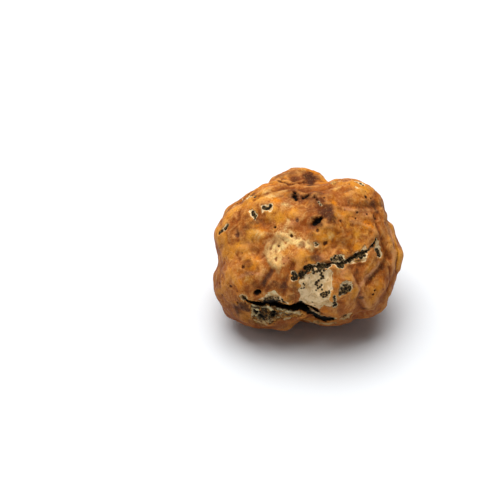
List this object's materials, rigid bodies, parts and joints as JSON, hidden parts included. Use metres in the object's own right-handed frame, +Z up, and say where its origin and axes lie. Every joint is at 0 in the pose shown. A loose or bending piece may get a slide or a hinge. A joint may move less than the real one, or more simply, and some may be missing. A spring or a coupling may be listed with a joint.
{
  "type": "white truffle",
  "caption": "Lumpy, rounded white truffle with a furrowed skin and a deep split low on its front, resting on a small flat spot.",
  "frame": {"origin": "on the resting plane, under the middle of the body", "axes": "+Z up, the split front faces -Y, the longest way across lies along X"},
  "size_m": [0.0616, 0.0516, 0.0487],
  "materials": {
    "truffle_skin": "matt, uneven skin, ochre to reddish brown, with pale cream flesh and dark grains where it has worn through"
  },
  "bodies": {
    "root": {"truffle": "truffle_skin"}
  },
  "joints": []
}
